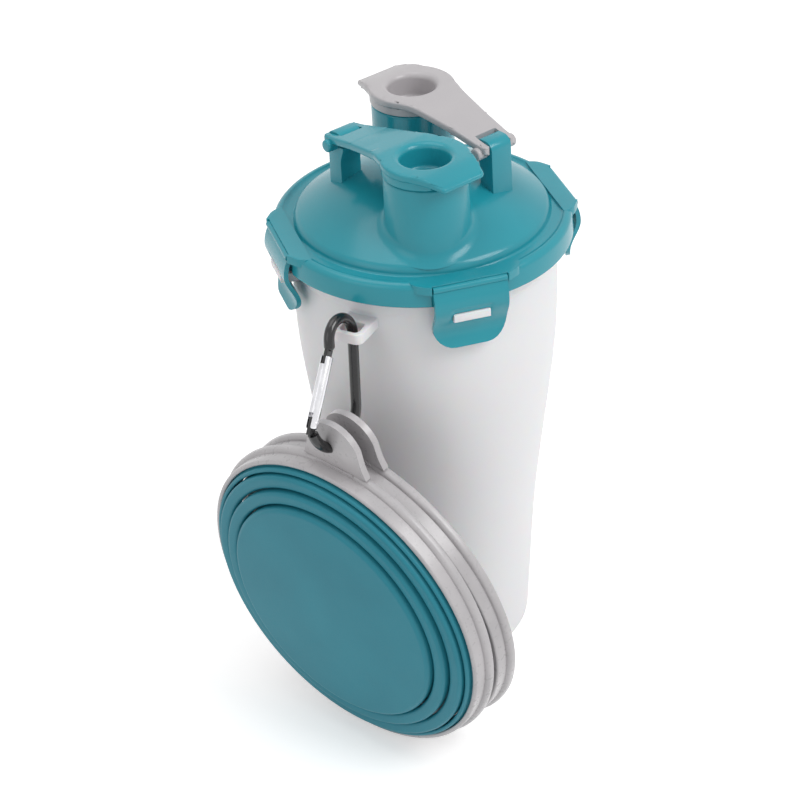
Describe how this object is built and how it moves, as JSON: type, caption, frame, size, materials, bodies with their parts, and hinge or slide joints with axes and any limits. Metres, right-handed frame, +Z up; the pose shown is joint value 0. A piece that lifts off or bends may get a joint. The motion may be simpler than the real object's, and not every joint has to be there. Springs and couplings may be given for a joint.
{
  "type": "dog travel water bottle",
  "caption": "Tall frosted travel bottle with a divided inside, a clip-down lid with capped spouts, and folding silicone bowls that hang from a snap hook.",
  "frame": {"origin": "centre of the container's foot, on the floor", "axes": "+Z up along the bottle's axis; -Y towards the front latch; the latches lie on -Y, +X, +Y and -X"},
  "size_m": [0.1502, 0.1732, 0.23],
  "materials": {
    "container": "frosted",
    "lid": "glossy",
    "seal": "satin",
    "grey_cap": "glossy",
    "hook": "glossy black",
    "gate": "polished",
    "steel": "bright",
    "bowl_grey": "satin",
    "bowl_teal": "satin",
    "rim_grey": "satin"
  },
  "bodies": {
    "container": {"container": "container"},
    "lid": {"lid": "lid", "lid_gasket": "seal", "divider_seal": "seal"},
    "latch_front": {"latch_front": "lid"},
    "latch_right": {"latch_right": "lid"},
    "latch_back": {"latch_back": "lid"},
    "latch_left": {"latch_left": "lid"},
    "front_cap": {"front_cap": "lid", "front_cap_seal": "seal"},
    "back_cap": {"back_cap": "grey_cap", "back_cap_seal": "seal"},
    "carabiner": {"carabiner_body": "hook", "gate_pin": "steel"},
    "gate": {"carabiner_gate": "gate", "gate_spring": "steel"},
    "front_bowl": {"front_bowl_rim": "rim_grey", "front_bowl_collar": "bowl_teal"},
    "front_bowl_upper_ring": {"front_bowl_upper_ring": "bowl_teal"},
    "front_bowl_lower_ring": {"front_bowl_lower_ring": "bowl_teal"},
    "front_bowl_base": {"front_bowl_base": "bowl_teal"},
    "rear_bowl": {"rear_bowl_rim": "rim_grey", "rear_bowl_collar": "bowl_grey"},
    "rear_bowl_upper_ring": {"rear_bowl_upper_ring": "bowl_grey"},
    "rear_bowl_lower_ring": {"rear_bowl_lower_ring": "bowl_grey"},
    "rear_bowl_base": {"rear_bowl_base": "bowl_grey"}
  },
  "joints": [
    {"name": "lid_lift", "type": "slide", "parent": "container", "child": "lid", "axis": [0, 0, 1], "range_m": [0, 0.008]},
    {"name": "latch_front_flip", "type": "hinge", "parent": "lid", "child": "latch_front", "pos_m": [0, -0.05599, 0.1903], "axis": [-1, 0, 0], "range_deg": [0, 132.01]},
    {"name": "latch_right_flip", "type": "hinge", "parent": "lid", "child": "latch_right", "pos_m": [0.05599, 0, 0.1903], "axis": [0, -1, 0], "range_deg": [0, 132.01]},
    {"name": "latch_back_flip", "type": "hinge", "parent": "lid", "child": "latch_back", "pos_m": [0, 0.05599, 0.1903], "axis": [1, 0, 0], "range_deg": [0, 132.01]},
    {"name": "latch_left_flip", "type": "hinge", "parent": "lid", "child": "latch_left", "pos_m": [-0.05599, 0, 0.1903], "axis": [0, 1, 0], "range_deg": [0, 132.01]},
    {"name": "front_cap_flip", "type": "hinge", "parent": "lid", "child": "front_cap", "pos_m": [-0.02444, 0.01371, 0.2201], "axis": [-0.9212, -0.3891, 0], "range_deg": [0, 135]},
    {"name": "back_cap_flip", "type": "hinge", "parent": "lid", "child": "back_cap", "pos_m": [0.02444, -0.01371, 0.2201], "axis": [0.9212, 0.3891, 0], "range_deg": [0, 135]},
    {"name": "carabiner_swing", "type": "hinge", "parent": "container", "child": "carabiner", "pos_m": [-0.04632, -0.04604, 0.17272], "axis": [-0.6087, 0.771, -0.1874], "range_deg": [0, 60]},
    {"name": "gate_open", "type": "hinge", "parent": "carabiner", "child": "gate", "pos_m": [-0.06361, -0.06487, 0.1514], "axis": [-0.6087, 0.771, -0.1874], "range_deg": [0, 25], "stiffness_Nm_per_rad": 0.02, "springref_deg": -20.05},
    {"name": "front_bowl_swing", "type": "hinge", "parent": "carabiner", "child": "front_bowl", "pos_m": [-0.05695, -0.0629, 0.13786], "axis": [-0.8378, -0.5329, -0.1191], "range_deg": [0, 15]},
    {"name": "rear_bowl_swing", "type": "hinge", "parent": "carabiner", "child": "rear_bowl", "pos_m": [-0.04901, -0.05674, 0.13744], "axis": [-0.8447, -0.5072, -0.1709], "range_deg": [0, 15]},
    {"name": "front_bowl_base_unfold", "type": "slide", "parent": "front_bowl", "child": "front_bowl_base", "axis": [-0.8378, -0.5329, -0.1191], "range_m": [0, 0.024]},
    {"name": "front_bowl_lower_ring_unfold", "type": "slide", "parent": "front_bowl", "child": "front_bowl_lower_ring", "axis": [-0.8378, -0.5329, -0.1191], "range_m": [0, 0.016]},
    {"name": "front_bowl_upper_ring_unfold", "type": "slide", "parent": "front_bowl", "child": "front_bowl_upper_ring", "axis": [-0.8378, -0.5329, -0.1191], "range_m": [0, 0.008]},
    {"name": "rear_bowl_base_unfold", "type": "slide", "parent": "rear_bowl", "child": "rear_bowl_base", "axis": [-0.8447, -0.5072, -0.1709], "range_m": [0, 0.018]},
    {"name": "rear_bowl_lower_ring_unfold", "type": "slide", "parent": "rear_bowl", "child": "rear_bowl_lower_ring", "axis": [-0.8447, -0.5072, -0.1709], "range_m": [0, 0.0096]},
    {"name": "rear_bowl_upper_ring_unfold", "type": "slide", "parent": "rear_bowl", "child": "rear_bowl_upper_ring", "axis": [-0.8447, -0.5072, -0.1709], "range_m": [0, 0.0012]}
  ],
  "couplings": [
    {"joint": "latch_front_flip", "follows": "lid_lift", "rad_per_m": 287.98},
    {"joint": "latch_right_flip", "follows": "lid_lift", "rad_per_m": 287.98},
    {"joint": "latch_back_flip", "follows": "lid_lift", "rad_per_m": 287.98},
    {"joint": "latch_left_flip", "follows": "lid_lift", "rad_per_m": 287.98},
    {"joint": "rear_bowl_swing", "follows": "front_bowl_swing", "ratio": 1},
    {"joint": "front_bowl_lower_ring_unfold", "follows": "front_bowl_base_unfold", "ratio": 0.66667},
    {"joint": "front_bowl_upper_ring_unfold", "follows": "front_bowl_base_unfold", "ratio": 0.33333},
    {"joint": "rear_bowl_base_unfold", "follows": "front_bowl_base_unfold", "ratio": 0.75},
    {"joint": "rear_bowl_lower_ring_unfold", "follows": "front_bowl_base_unfold", "ratio": 0.4},
    {"joint": "rear_bowl_upper_ring_unfold", "follows": "front_bowl_base_unfold", "ratio": 0.05}
  ]
}
